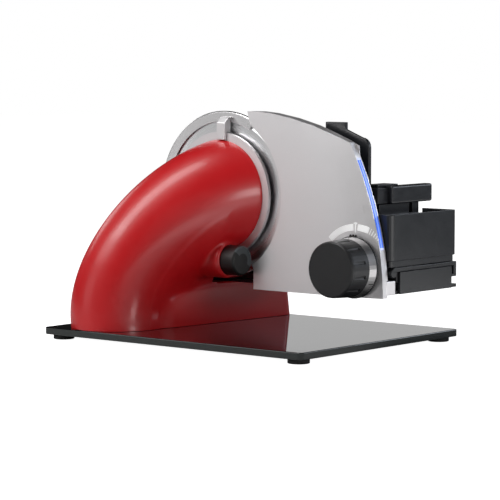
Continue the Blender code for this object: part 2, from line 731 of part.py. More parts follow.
def stop_plate_group():
    slide = joint_empty("stop_slide", (0, DIAL_Y, DIAL_Z))
    shell = stop_blank("stop_plate", 0.0, STOP_LEFT, STOP_RIGHT - FACE_PLATE - GAP,
                       "satin_silver", slide)
    side_view = plate("stop_side_view", stop_outline(), "X", STOP_LEFT - 5, STOP_RIGHT + 5)
    boolean(shell, 'INTERSECT', side_view)
    pocket = stop_blank("stop_pocket", 5.0, STOP_LEFT + 2.6, STOP_RIGHT + 3)
    pocket_view = plate("stop_pocket_view", stop_outline(3.0), "X", STOP_LEFT - 5,
                        STOP_RIGHT + 5)
    boolean(pocket, 'INTERSECT', pocket_view)
    tab = block("stop_tab", (10.0, -169.0, 56.3), (25.2, -12.0, 70.2), round_by=0.6)
    groove = loft("strip_groove", strip_rings(3.1, 2.4, 102.0, 194.0, 2.0))
    spindle_hole = rod("spindle_hole", "X", (0, DIAL_Y, DIAL_Z), 4.4, -10, 8, sides=24)
    cut(shell, pocket)
    join(shell, tab)
    cut(shell, groove, spindle_hole)
    smooth(shell, 25)

    face = plate("food_face", face_outline(), "X", STOP_RIGHT - FACE_PLATE, STOP_RIGHT,
                 "satin_silver", slide, (0, DIAL_Y, DIAL_Z))
    ribs = [block(f"face_rib_{i}", (STOP_RIGHT - 0.5, -150, z), (STOP_RIGHT + 1, -50, z + 2.0))
            for i, z in enumerate((96.0, 108.0, 120.0, 132.0, 144.0, 156.0, 168.0, 180.0))]
    cut(face, *ribs)
    loft("light_strip", strip_rings(2.8, 2.1, 102.3, 193.7, 0.0), "blue_light", slide)
    block("light_board", (6.0, nose(136) + 12, 112.0), (11.0, nose(136) + 13.5, 136.0),
          "circuit_green", slide)
    for name, y in zip(("slide_shaft_front", "slide_shaft_rear"), SHAFT_YS):
        rod(name, "X", (0, y, SHAFT_Z), SHAFT_RADIUS, 25.5, 84.0, "steel", slide, sides=24)
    return slide


def face_outline():
    """Outline of the food-side plate, above the tab."""
    edge = 71.0
    inset = 0.6
    outline = [p for p in stop_outline(inset) if p[1] > edge]
    return [(nose(edge) + inset, edge)] + outline + [(STOP_REAR - inset, edge)]


def dial_group(slide):
    place = (DIAL_Y, DIAL_Z)
    spin = joint_empty("dial_axis", (0, *place), slide)
    knob = turned("thickness_knob", [(-40.8, 0.0), (-40.8, 26.8), (-39.6, 28.2), (-37.0, 28.6),
                                     (-14.7, 29.6), (-14.7, 4.3), (-22.0, 4.3), (-22.0, 0.0)],
                  place, "soft_black", spin, 48)
    notches = []
    for i in range(12):
        a = radians(30 * i + 15)
        centre = (0, DIAL_Y + 30.6 * cos(a), DIAL_Z + 30.6 * sin(a))
        notches.append(rod(f"grip_notch_{i}", "X", centre, 2.4, -42.0, -20.0, sides=10))
    cut(knob, *notches)
    turned("dial_ring", [(-14.4, 4.4), (-14.4, 29.4), (-4.6, 30.9), (-4.6, 4.4)], place,
           "grey_plastic", spin, 48)
    turned("dial_rim", [(-4.3, 4.4), (-4.3, DIAL_RADIUS), (-2.2, DIAL_RADIUS), (-2.2, 4.4)],
           place, "soft_black", spin, 48)
    rod("dial_spindle", "X", (0, *place), 4.0, -21.7, 9.0, "steel", spin, sides=24)
    cam = rod("dial_cam", "X", (0, DIAL_Y + 2.5, DIAL_Z + 1.0), 10.0, 4.8, 8.6, "nylon", spin,
              sides=28)
    cut(cam, rod("cam_bore", "X", (0, *place), 4.3, 0, 12, sides=24))


# ---------------------------------------------------------------- rail

RAIL_SCREWS = ((58.0, 70.0), (98.0, 112.0))


def carriage_rail():
    """Extruded guide, hollow, with a groove down each side."""
    outline = [(RAIL_LEFT, RAIL_BOTTOM), (RAIL_RIGHT, RAIL_BOTTOM), (RAIL_RIGHT, 60.0),
               (119.7, 60.0), (119.7, 71.2), (RAIL_HEAD, 71.2), (RAIL_HEAD, RAIL_TOP),
               (RAIL_LEFT, RAIL_TOP), (RAIL_LEFT, 68.5), (29.5, 68.5), (29.5, 60.0),
               (RAIL_LEFT, 60.0)]
    hollow = [(36.0, 59.0), (36.0, 76.5), (116.0, 76.5), (116.0, 59.0)]
    rail = plate("carriage_rail", outline, "Y", RAIL_FRONT, RAIL_REAR, "black_aluminium",
                 hole=hollow)
    cut(rail, *[rod(f"shaft_hole_{i}", "X", (0, y, SHAFT_Z), SHAFT_RADIUS + 0.4, 20, 40,
                    sides=24) for i, y in enumerate(SHAFT_YS)])
    cut(rail, *[rod(f"rail_screw_hole_{i}", "Z", (x, y, 0), 2.4, 50, 60, sides=16)
                for i, (x, y) in enumerate(RAIL_SCREWS)])
    return rail


def rail_fittings():
    low, high = (29.6, RAIL_BOTTOM), (119.6, RAIL_TOP)
    for name, start, end in (("rail_cap_front", -171.8, RAIL_FRONT - GAP),
                             ("rail_cap_rear", RAIL_REAR + GAP, RAIL_REAR + 3)):
        block(name, (low[0], start, low[1]), (high[0], end, high[1]), "black_plastic",
              round_by=0.3)
    guide = block("shaft_guide", (36.4, SHAFT_YS[0] - 12, 59.4), (52.0, SHAFT_YS[1] + 12, 76.1),
                  "nylon")
    cut(guide, *[rod(f"guide_bore_{i}", "X", (0, y, SHAFT_Z), SHAFT_RADIUS + 0.3, 30, 60,
                     sides=24) for i, y in enumerate(SHAFT_YS)])
    for i, (x, y) in enumerate(RAIL_SCREWS):
        headed_screw(f"rail_screw_{i + 1}", x, y, 2.0, 4.2, 49.0, 52.8, 62.0)


# ---------------------------------------------------------------- carriage

def carriage_group():
    run = joint_empty("carriage_slide", (78.0, CARRIAGE_FRONT, FLOOR_BOTTOM))
    lip = arc((19.4, 78.0), 4.6, 110, 330, 8)
    inner = RAIL_HEAD + 0.4
    outline = ([(SKIRT_RIGHT, FLOOR_TOP)] + [(19.8, FLOOR_TOP)] + lip
               + [(24.9, FLOOR_BOTTOM), (inner, FLOOR_BOTTOM), (inner, 70.7), (120.6, 70.7),
                  (120.6, 68.0), (SKIRT_RIGHT, 68.0)])
    place = (78.0, CARRIAGE_FRONT, FLOOR_BOTTOM)
    plate("carriage_base", outline, "Y", CARRIAGE_FRONT, CARRIAGE_REAR, "black_plastic", run,
          place)
    left_turn = (CARRIAGE_LEFT + 6.0, CARRIAGE_FRONT + 6.0)
    right_turn = (CARRIAGE_RIGHT - 3.0, CARRIAGE_FRONT + 3.0)
    outside = arc(left_turn, 6.0, 180, 270, 4) + arc(right_turn, 3.0, 270, 360, 3)
    wall = (outside + [(CARRIAGE_RIGHT, -130.0), (right_turn[0], -130.0), right_turn]
            + arc(left_turn, 3.0, 270, 180, 3)
            + [(CARRIAGE_LEFT + 3.0, -150.0), (CARRIAGE_LEFT, -150.0)])
    sole = (arc(left_turn, 4.0, 180, 270, 4) + arc(right_turn, 1.0, 270, 360, 2)
            + [(CARRIAGE_RIGHT - 2.0, -132.0), (CARRIAGE_RIGHT - 6.0, -132.0),
               (CARRIAGE_RIGHT - 6.0, left_turn[1]), left_turn, (left_turn[0], -152.0),
               (CARRIAGE_LEFT + 2.0, -152.0)])
    wall_piece = plate("carriage_wall", wall, "Z", WALL_BOTTOM, WALL_TOP, "black_plastic", run,
                       (78.0, CARRIAGE_FRONT, WALL_TOP))
    join(wall_piece, plate("wall_sole", sole, "Z", FLOOR_TOP + GAP, WALL_BOTTOM + 3.0))
    bevel(wall_piece, 0.6, 2)
    track = [(-168.2, 126.0), (-163.0, 126.0), (-163.0, 123.0), (-160.0, 123.0),
             (-160.0, 133.0), (-163.0, 133.0), (-163.0, 130.0), (-168.2, 130.0)]
    plate("holder_track", track, "X", left_turn[0] + 0.5, CARRIAGE_RIGHT - 3.3,
          "black_aluminium", run, (78.0, -163, 128))
    return run


def remnant_holder(run):
    """Pusher that slides along the carriage wall, square to the blade."""
    origin = (25.8, -166.5, 128.0)
    reach = joint_empty("holder_slide", origin, run)
    outline = ([(-138.0, 87.0), (-78.0, 87.0), (-78.0, 214.0)]
               + [(-82.3, 219.5), (-82.3, 228.8), (-108.1, 228.8), (-108.1, 221.5),
                  (-128.0, 213.8)]
               + arc((-128.5, 204.0), 9.5, 105, 180, 4))
    pusher = plate("pusher_plate", outline, "X", 21.0, 25.5, "black_plastic", reach, origin)
    bevel(pusher, 0.6, 2)
    strip = block("pusher_spikes", (19.9, -126.0, 98.0), (20.7, -90.0, 158.0), "steel", reach)
    for row in range(4):
        for column in range(3):
            y, z = -122.0 + 14.0 * column, 102.0 + 17.0 * row
            join(strip, rod(f"spike_{row}_{column}", "X", (0, y, z), 0.4, 17.9, 20.3,
                            sides=8, end_radius=1.8))
    saddle_profile = [(-166.5, 119.0), (-138.3, 119.0), (-138.3, 146.5), (-152.0, 146.5),
                      (-152.0, 135.4), (-166.5, 135.4), (-166.5, 130.4), (-163.4, 130.4),
                      (-163.4, 133.4), (-159.6, 133.4), (-159.6, 122.6), (-163.4, 122.6),
                      (-163.4, 125.6), (-166.5, 125.6)]
    saddle = plate("holder_saddle", saddle_profile, "X", 20.5, 88.0, "black_plastic", reach,
                   origin)
    hub = block("saddle_hub", (18.5, -151.4, 147.4), (35.2, -138.3, 163.0))
    back = block("saddle_back", (25.8, -146.0, 139.0), (60.0, -128.0, 166.0))
    notch = block("saddle_notch", (70.8, -156.0, 135.9), (77.0, -147.5, 150.0))
    join(saddle, hub, back)
    cut(saddle, notch)
    block("holder_grip", (35.5, -157.0, 146.8), (105.0, -146.3, 165.0), "black_plastic", reach,
          round_by=2.0, segments=3)


# ---------------------------------------------------------------- assembly

clear_scene()
slicer = new_collection("food_slicer")
cutters = new_collection("cutters")
world_place = {}

glass_base()
base_feet()
base_screws()
motor_housing()
floor_plate()
cable_gland()
flange()
bearing_plate()
bearings()
motor()
layshaft()
blade_group()
guard_ring()
ring_brackets()
small_internals()
power_button()
dial_group(stop_plate_group())
carriage_rail()
rail_fittings()
remnant_holder(carriage_group())
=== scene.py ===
"""Looks of a household food slicer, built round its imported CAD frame.

Frame: +X is the user's right, +Y points away from the user, +Z is up. Everything is in metres.
Lengths that are easier to read in millimetres are written as a number times MM.
"""

import json
from math import cos, pi, radians, sin

import bmesh
import bpy
import numpy as np
from mathutils import Matrix, Vector

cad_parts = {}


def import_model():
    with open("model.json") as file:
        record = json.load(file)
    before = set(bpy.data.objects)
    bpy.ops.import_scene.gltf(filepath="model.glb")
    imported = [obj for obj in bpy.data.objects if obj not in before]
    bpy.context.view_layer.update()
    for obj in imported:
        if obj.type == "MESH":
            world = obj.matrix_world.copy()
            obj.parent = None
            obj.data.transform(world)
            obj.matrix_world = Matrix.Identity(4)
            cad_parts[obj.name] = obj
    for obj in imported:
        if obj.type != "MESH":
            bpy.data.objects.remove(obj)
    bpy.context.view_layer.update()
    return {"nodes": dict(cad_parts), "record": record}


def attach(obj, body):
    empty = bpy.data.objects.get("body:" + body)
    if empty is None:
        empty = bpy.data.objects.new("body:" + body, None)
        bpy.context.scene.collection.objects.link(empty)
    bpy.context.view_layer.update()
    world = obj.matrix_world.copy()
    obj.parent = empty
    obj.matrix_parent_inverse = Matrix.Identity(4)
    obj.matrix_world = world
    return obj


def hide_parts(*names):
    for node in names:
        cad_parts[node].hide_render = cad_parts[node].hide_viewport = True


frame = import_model()

MM = 0.001
nodes = frame["nodes"]

# Places shared with the CAD model
BLADE_Y, BLADE_Z = 44.7, 150.0
TUBE_END_X, TUBE_RADIUS = 3.4, 58.0
LEG_X, LEG_Y, LEG_RADIUS = -83.3, 113.1, 47.5
HOUSING_BOTTOM, FOOT_TOP = 12.8, 56.2
POD_X, POD_Z, POD_RADIUS, POD_MOUTH = -16.0, 84.0, 19.0, 15.0
DIAL_Y, DIAL_Z = -137.0, 84.0
STOP_LEFT, STOP_BOTTOM = -1.8, 53.5
GUIDE_X, GUIDE_BOTTOM, GUIDE_TOP = 8.3, 102.6, 193.4

# Pattern of the materials, in millimetres unless it says otherwise
SCRATCH_SCALE = 2600.0              # scratches of turned metal, in noise cells per metre
GUIDE_LINE, GUIDE_END_GLINT = 1.5, 1.6    # half width of the light guide's bright line, and the length of the painted white glint at each end
GLINT_RADIUS, GLINT_LOW, GLINT_Y = 7.5, 1.5, -1.2   # the painted grey highlight on the push button's end
GLINT_TURN = 0.75                   # how far the painted highlight turns to the right, as a ratio


# ---------------------------------------------------------------- materials

def new_material(name, colour, roughness, metallic=0.0, **sockets):
    """A Principled material; sockets are further inputs by name, with _ for a space."""
    material = bpy.data.materials.new(name)
    material.use_nodes = True
    tree = material.node_tree
    shader = tree.nodes["Principled BSDF"]
    shader.inputs["Base Color"].default_value = (*colour, 1.0)
    shader.inputs["Roughness"].default_value = roughness
    shader.inputs["Metallic"].default_value = metallic
    for socket, value in sockets.items():
        shader.inputs[socket.replace("_", " ")].default_value = value
    return material


def add(material, kind, links=(), **values):
    """Add one node: links are (socket, output or constant) pairs, values are its properties."""
    node = material.node_tree.nodes.new(kind)
    for key, value in values.items():
        setattr(node, key, value)
    for socket, source in links:
        if hasattr(source, "is_output"):
            material.node_tree.links.new(source, node.inputs[socket])
        else:
            node.inputs[socket].default_value = source
    return node


def object_place(material):
    """Coordinates in metres that ride with the piece."""
    return add(material, "ShaderNodeTexCoord").outputs["Object"]


def vector(material, operation, *values):
    return add(material, "ShaderNodeVectorMath", list(enumerate(values)), operation=operation)


def calc(material, operation, *values, clamp=False):
    return add(material, "ShaderNodeMath", list(enumerate(values)), operation=operation,
               use_clamp=clamp).outputs[0]


def noise(material, scale, detail=3.0, stretch=(1, 1, 1)):
    """Noise from 0 to 1, with its coordinates scaled by stretch along each axis."""
    where = vector(material, 'MULTIPLY', object_place(material), stretch).outputs[0]
    return add(material, "ShaderNodeTexNoise", [("Vector", where), ("Scale", scale),
                                                ("Detail", detail)]).outputs["Fac"]


def spread(material, value, low, high):
    """Map the middle of a noise's range to low and high."""
    return add(material, "ShaderNodeMapRange", [("Value", value), ("From Min", 0.3),
                                                ("From Max", 0.7), ("To Min", low),
                                                ("To Max", high)]).outputs["Result"]


def into(material, socket, output):
    shader = material.node_tree.nodes["Principled BSDF"]
    material.node_tree.links.new(output, shader.inputs[socket])


def mix(material, factor, first, second):
    """Blend two colours, each an output or an RGB constant."""
    colours = [source if hasattr(source, "is_output") else (*source, 1.0)
               for source in (first, second)]
    # Inputs 6 and 7 and output 2 are the colour ones of a Mix node
    node = add(material, "ShaderNodeMix", [(0, factor), (6, colours[0]), (7, colours[1])],
               data_type='RGBA')
    return node.outputs[2]


def bump(material, height, strength, distance):
    node = add(material, "ShaderNodeBump", [("Height", height), ("Strength", strength),
                                            ("Distance", distance)])
    into(material, "Normal", node.outputs["Normal"])


def moulded(name, colour, roughness, grain=1400.0, depth=0.10):
    """Moulded plastic: fine spark-eroded grain and a slow drift in colour and gloss."""
    material = new_material(name, colour, roughness)
    slow = noise(material, 24.0, 2.0)
    lighter = tuple(c * 1.25 + 0.001 for c in colour)
    into(material, "Base Color", mix(material, slow, colour, lighter))
    into(material, "Roughness", spread(material, noise(material, 90.0), roughness - 0.04,
                                       roughness + 0.04))
    bump(material, noise(material, grain, 2.0), depth, 0.0001)
    return material


def turned_metal(name, colour, roughness, centre_y, centre_z, anisotropy):
    """Metal brushed in circles about a line along X, at a centre in millimetres."""
    material = new_material(name, colour, roughness, 1.0, Anisotropic=anisotropy)
    centre = (0, centre_y * MM, centre_z * MM)
    offset = vector(material, 'SUBTRACT', object_place(material), centre).outputs[0]
    flat = vector(material, 'MULTIPLY', offset, (0, 1, 1)).outputs[0]
    radius = vector(material, 'LENGTH', flat).outputs["Value"]
    circling = vector(material, 'CROSS_PRODUCT', (1, 0, 0), flat).outputs[0]
    tangent = add(material, "ShaderNodeVectorTransform", [("Vector", circling)],
                  vector_type='VECTOR', convert_from='OBJECT', convert_to='WORLD')
    into(material, "Tangent", tangent.outputs[0])
    scratch = add(material, "ShaderNodeTexNoise",
                  [("W", radius), ("Scale", SCRATCH_SCALE), ("Detail", 2.0)],
                  noise_dimensions='1D').outputs["Fac"]
    into(material, "Roughness", spread(material, scratch, roughness - 0.03,
                                       roughness + 0.05))
    tint = tuple(c * 0.92 for c in colour)
    into(material, "Base Color", mix(material, scratch, tint, colour))
    bump(material, scratch, 0.05, 0.00005)
    return material


def lacquer():
    """Deep red gloss lacquer under a clear coat, with a faint orange peel."""
    deep, bright = (0.52, 0.005, 0.008), (0.60, 0.006, 0.010)
    material = new_material("red_lacquer", deep, 0.40, Coat_Weight=0.35, Coat_Roughness=0.18)
    into(material, "Base Color", mix(material, noise(material, 14.0, 2.0), deep, bright))
    into(material, "Roughness", spread(material, noise(material, 60.0), 0.37, 0.43))
    bump(material, noise(material, 420.0, 1.0), 0.03, 0.00006)
    return material


def satin_silver():
    """Bead-blasted and silver-anodised aluminium."""
    dull, clear = (0.77, 0.755, 0.765), (0.84, 0.82, 0.83)
    material = new_material("satin_silver", dull, 0.42, 0.85)
    into(material, "Base Color", mix(material, noise(material, 9.0, 2.0), dull, clear))
    into(material, "Roughness", spread(material, noise(material, 500.0, 2.0), 0.36, 0.46))
    bump(material, noise(material, 2600.0, 2.0), 0.10, 0.00005)
    return material


def drawn_metal(name, colour, roughness, stretch, metallic=1.0):
    """Metal with fine lines along the axis whose stretch is small, as from extruding."""
    material = new_material(name, colour, roughness, metallic)
    lines = noise(material, 900.0, 3.0, stretch)
    into(material, "Base Color", mix(material, lines, tuple(c * 0.9 for c in colour), colour))
    into(material, "Roughness", spread(material, lines, roughness - 0.04, roughness + 0.07))
    bump(material, lines, 0.06, 0.00005)
    return material


def black_glass():
    """Polished black safety glass with a trace of dust and a green cut edge."""
    face, green = (0.006, 0.006, 0.007), (0.012, 0.017, 0.016)
    material = new_material("black_glass", face, 0.04, Coat_Weight=0.5)
    into(material, "Roughness", spread(material, noise(material, 40.0, 4.0), 0.03, 0.07))
    normal = add(material, "ShaderNodeTexCoord").outputs["Normal"]
    up = add(material, "ShaderNodeSeparateXYZ", [(0, normal)]).outputs["Z"]
    edge = calc(material, 'LESS_THAN', up, 0.5)
    into(material, "Base Color", mix(material, edge, face, green))
    return material


def light_guide():
    """Blue light guide: a brighter line down its middle, and painted white glints at its ends."""
    material = new_material("blue_light", (0.03, 0.10, 0.60), 0.25, Emission_Strength=0.75)
    axes = add(material, "ShaderNodeSeparateXYZ", [(0, object_place(material))])
    off_middle = calc(material, 'SUBTRACT', axes.outputs["X"], GUIDE_X * MM)
    aside = calc(material, 'ABSOLUTE', off_middle)
    line = calc(material, 'SUBTRACT', 1.0, calc(material, 'DIVIDE', aside, GUIDE_LINE * MM),
                clamp=True)
    half_height = (GUIDE_TOP - GUIDE_BOTTOM) / 2
    off_centre = calc(material, 'SUBTRACT', axes.outputs["Z"],
                      (GUIDE_BOTTOM + half_height) * MM)
    height = calc(material, 'ABSOLUTE', off_centre)
    # painted highlight: the last stretch at each end glows near white and stands in for glints
    end = calc(material, 'GREATER_THAN', height, (half_height - GUIDE_END_GLINT) * MM)
    glow = mix(material, line, (0.06, 0.15, 0.62), (0.36, 0.52, 1.0))
    into(material, "Emission Color", mix(material, end, glow, (0.85, 0.9, 1.0)))
    return material


def button_face():
    """Black push button with a painted grey highlight round the upper right of its end, in place
    of a reflection.
    """
    black, glint_grey = (0.004, 0.004, 0.004), (0.060, 0.070, 0.075)
    material = new_material("power_button", black, 0.42)
    middle = (POD_X * MM, 0.0, POD_Z * MM)
    offset = vector(material, 'SUBTRACT', object_place(material), middle).outputs[0]
    axes = add(material, "ShaderNodeSeparateXYZ", [(0, offset)])
    across, along, up = (axes.outputs[name] for name in "XYZ")
    squares = [calc(material, 'MULTIPLY', value, value) for value in (across, up)]
    radius = calc(material, 'SQRT', calc(material, 'ADD', *squares))
    side = calc(material, 'ADD', calc(material, 'MULTIPLY', across, GLINT_TURN), up)
    # painted highlight: a grey patch on the upper right of the button's end stands in for a
    # reflection
    rim = calc(material, 'GREATER_THAN', radius, GLINT_RADIUS * MM)
    upper = calc(material, 'GREATER_THAN', side, GLINT_LOW * MM)
    tip = calc(material, 'LESS_THAN', along, GLINT_Y * MM)
    painted_glint = calc(material, 'MULTIPLY', calc(material, 'MULTIPLY', rim, upper), tip)
    into(material, "Base Color", mix(material, painted_glint, black, glint_grey))
    into(material, "Roughness", spread(material, noise(material, 90.0), 0.38, 0.46))
    bump(material, noise(material, 1700.0, 2.0), 0.10, 0.0001)
    return material


RED = lacquer()
SILVER = satin_silver()
GLASS = black_glass()
LIGHT = light_guide()
RING = turned_metal("ring_steel", (0.62, 0.61, 0.615), 0.22, BLADE_Y, BLADE_Z, 0.75)
BLADE = turned_metal("blade_steel", (0.74, 0.74, 0.75), 0.30, BLADE_Y, BLADE_Z, 0.6)
PLASTIC = moulded("black_plastic", (0.007, 0.008, 0.010), 0.33)
KNOB = moulded("soft_black", (0.006, 0.006, 0.007), 0.46, 1700.0, 0.14)
RUBBER = moulded("rubber", (0.015, 0.015, 0.015), 0.75, 700.0, 0.25)
SKIRT = turned_metal("dial_skirt", (0.50, 0.49, 0.49), 0.34, DIAL_Y, DIAL_Z, 0.3)
EXTRUDED = drawn_metal("black_anodised", (0.010, 0.010, 0.012), 0.30, (1, 0.02, 1), 0.3)
STEEL = drawn_metal("turned_steel", (0.50, 0.50, 0.51), 0.30, (0.05, 1, 1))
NYLON = moulded("nylon", (0.62, 0.60, 0.52), 0.5)
BRONZE = drawn_metal("bronze", (0.45, 0.25, 0.12), 0.35, (0.05, 1, 1))
BOARD = moulded("circuit_board", (0.015, 0.10, 0.035), 0.42, 300.0, 0.3)
PRINT = moulded("white_print", (0.95, 0.95, 0.95), 0.45, 900.0, 0.05)
DARK_PRINT = moulded("black_print", (0.012, 0.012, 0.012), 0.5, 900.0, 0.05)

BY_SLOT = {
    "red_lacquer": RED, "satin_silver": SILVER, "black_glass": GLASS, "blue_light": LIGHT,
    "brushed_steel": RING, "blade_steel": BLADE, "black_plastic": PLASTIC, "soft_black": KNOB,
    "rubber": RUBBER, "grey_plastic": SKIRT, "black_aluminium": EXTRUDED, "steel": STEEL,
    "nylon": NYLON, "bronze": BRONZE, "circuit_board": BOARD,
}
EDGES = {
    # node: (rounding in millimetres, segments)
    "stop_plate": (0.7, 3), "food_face": (0.4, 2), "guard_ring": (0.35, 2),
    "ring_bracket_top": (0.5, 3), "ring_bracket_rear": (0.5, 3), "carriage_base": (0.6, 3),
    "carriage_wall": (0.7, 3), "holder_track": (0.3, 2), "pusher_plate": (0.9, 3),
    "holder_saddle": (0.8, 3), "holder_grip": (0.8, 3), "carriage_rail": (0.35, 2),
    "rail_cap_front": (0.4, 2), "rail_cap_rear": (0.4, 2), "base_plate": (0.8, 3),
    "gear_flange": (0.4, 2), "blade_hub": (0.4, 2), "blade_screw": (0.5, 3),
    "thickness_knob": (0.9, 3), "dial_ring": (0.3, 2), "dial_rim": (0.3, 2),
    "power_button": (1.0, 4), "light_strip": (0.4, 2),
}


def soften(obj, width, segments):
    """Round a piece's edges and shade it smooth, leaving its own mesh as it is."""
    weld = obj.modifiers.new("weld", 'WELD')
    weld.merge_threshold = 0.00001
    rounding = obj.modifiers.new("rounding", 'BEVEL')
    rounding.width = width * MM
    rounding.segments = segments
    rounding.limit_method = 'ANGLE'
    rounding.angle_limit = radians(32)
    rounding.harden_normals = True
    rounding.use_clamp_overlap = True
    obj.modifiers.new("even_shading", 'WEIGHTED_NORMAL').keep_sharp = True


def dress(obj, material):
    """Give a piece one material in place of any it has."""
    obj.data.materials.clear()
    obj.data.materials.append(material)


for row in frame["record"]["subparts"]:
    node = nodes[row["node"]]
    dress(node, BY_SLOT[row["material_slot"]])
    if row["node"] in EDGES:
        soften(node, *EDGES[row["node"]])
dress(nodes["ring_bracket_top"], SILVER)
dress(nodes["ring_bracket_rear"], SILVER)
dress(nodes["power_button"], button_face())


# ---------------------------------------------------------------- mesh helpers

def linked(name, data):
    obj = bpy.data.objects.new(name, data)
    bpy.context.scene.collection.objects.link(obj)
    return obj


def object_from(name, mesh, material, body):
    """A visible piece that rides on a body and stands in a material slot."""
    obj = linked(name, mesh)
    dress(obj, material)
    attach(obj, body)
    return obj


def mesh_from(name, points, faces, smooth=True):
    """A mesh from points in metres and faces of point numbers."""
    mesh = bpy.data.meshes.new(name)
    mesh.from_pydata([tuple(p) for p in points], [], [tuple(f) for f in faces])
    mesh.validate()
    if smooth:
        mesh.shade_smooth()
    return mesh


def cutter(name, kind, centre, size):
    """A block (size = lengths) or a rod along Y (size = radius, length) that cut_with removes."""
    bm = bmesh.new()
    if kind == "block":
        bmesh.ops.create_cube(bm, size=1.0)
        bmesh.ops.scale(bm, vec=Vector(size) * MM, verts=bm.verts)
    else:
        radius, length = size
        bmesh.ops.create_cone(bm, cap_ends=True, segments=96, radius1=radius * MM,
                              radius2=radius * MM, depth=length * MM,
                              matrix=Matrix.Rotation(pi / 2, 4, 'X'))
    bmesh.ops.translate(bm, vec=Vector(centre) * MM, verts=bm.verts)
    mesh = bpy.data.meshes.new(name)
    bm.to_mesh(mesh)
    bm.free()
    return linked(name, mesh)


def apply_modifiers(obj):
    """Bake an object's modifiers into its mesh."""
    bpy.context.view_layer.update()
    graph = bpy.context.evaluated_depsgraph_get()
    mesh = bpy.data.meshes.new_from_object(obj.evaluated_get(graph))
    obj.modifiers.clear()
    obj.data = mesh


def cut_with(obj, *tools):
    """Cut a piece with other solids, which are then removed."""
    for tool in tools:
        modifier = obj.modifiers.new("cut", 'BOOLEAN')
        modifier.operation = 'DIFFERENCE'
        modifier.solver = 'MANIFOLD'
        modifier.object = tool
    apply_modifiers(obj)
    for tool in tools:
        bpy.data.objects.remove(tool, do_unlink=True)


# ---------------------------------------------------------------- motor housing

# Lengths are in millimetres. A pair is an even and a skewed part of a bow along the hook.
HOOK_DIP = (-36.0, 15.0)    # bow of its middle line towards the pivot
HOOK_BACK = (0.9, -0.5)     # bow away from the user, as a share of the whole way back
HOOK_WAIST = -8.0           # change of its radius half way round, times four
HOOK_END = 8.0              # how far the rough shape runs on past the hook's flat end
WEB_INSET = 0.6             # fairing, behind the hook's foremost line
WEB_RETREAT = 24.0          # how much further back it stands at the hook's flat end
WEB_RETREAT_X = -30.0       # X at which it starts to go back
WEB_FALL = 36.0             # least way down from that line to the foot's front wall
WEB_EASE = 1.5              # over 1, it leaves the hook slowly and lands quickly
LEAST_LEVEL = 0.3           # keeps that way down finite near the foot of the hook
FRONT_SCALE = 0.75          # brings the fairing's front near to a true distance
CREASE = 3.0                # blend between the round hook and its fairing
FOOT_BLEND = 3.0
FOOT_TOP_EDGE = 2.2
FOOT_RIGHT, FOOT_LEAN = 130.0, 6.0
FOOT_RIGHT_EDGE = 13.0
POD_BACK, POD_BLEND, POD_LIP = 72.0, 4.0, 2.4
SKIRT_BELOW = 6.0           # the rough shape closes this far under the housing
WALL = 3.0
PITCH = 2.0
NET_LOW, NET_HIGH = (-137.0, -20.0, 0.8), (136.0, 167.0, 216.0)


def soft_min(a, b, width):
    """The lesser of two distances, blended over a width."""
    h = np.clip(0.5 + 0.5 * (b - a) / width, 0, 1)
    return b + (a - b) * h - width * h * (1 - h)


def soft_max(a, b, width):
    return -soft_min(-a, -b, width)


def even_and_skew(u, even, skew):
    """A bow that is zero at both ends."""
    return even * u * (1 - u) + skew * u * (1 - u) * (1 - 2 * u)


def ease(t):
    """Smooth step from 0 to 1."""
    t = np.clip(t, 0, 1)
    return t * t * (3 - 2 * t)


def hook_section(u):
    """Distance from the pivot, Y of the middle line and radius, part of the way round the hook."""
    start, end = BLADE_Z - HOUSING_BOTTOM, TUBE_END_X - LEG_X
    reach = start + (end - start) * u + even_and_skew(u, *HOOK_DIP)
    back = BLADE_Y + (LEG_Y - BLADE_Y) * (u + even_and_skew(u, *HOOK_BACK))
    radius = TUBE_RADIUS + (LEG_RADIUS - TUBE_RADIUS) * u + even_and_skew(u, HOOK_WAIST, 0)
    return reach, back, radius


def foot_front(x):
    """Y of the foot's front wall."""
    return 65.3 - 0.0975 * (x + 80.0)


def foot_back(x):
    """Y of the foot's rear wall."""
    return 155.8 - 0.0697 * (x - LEG_X)


def web_back(x):
    """Y of the fairing's rear wall."""
    return 134.0 - 0.47 * (x + 78.3)


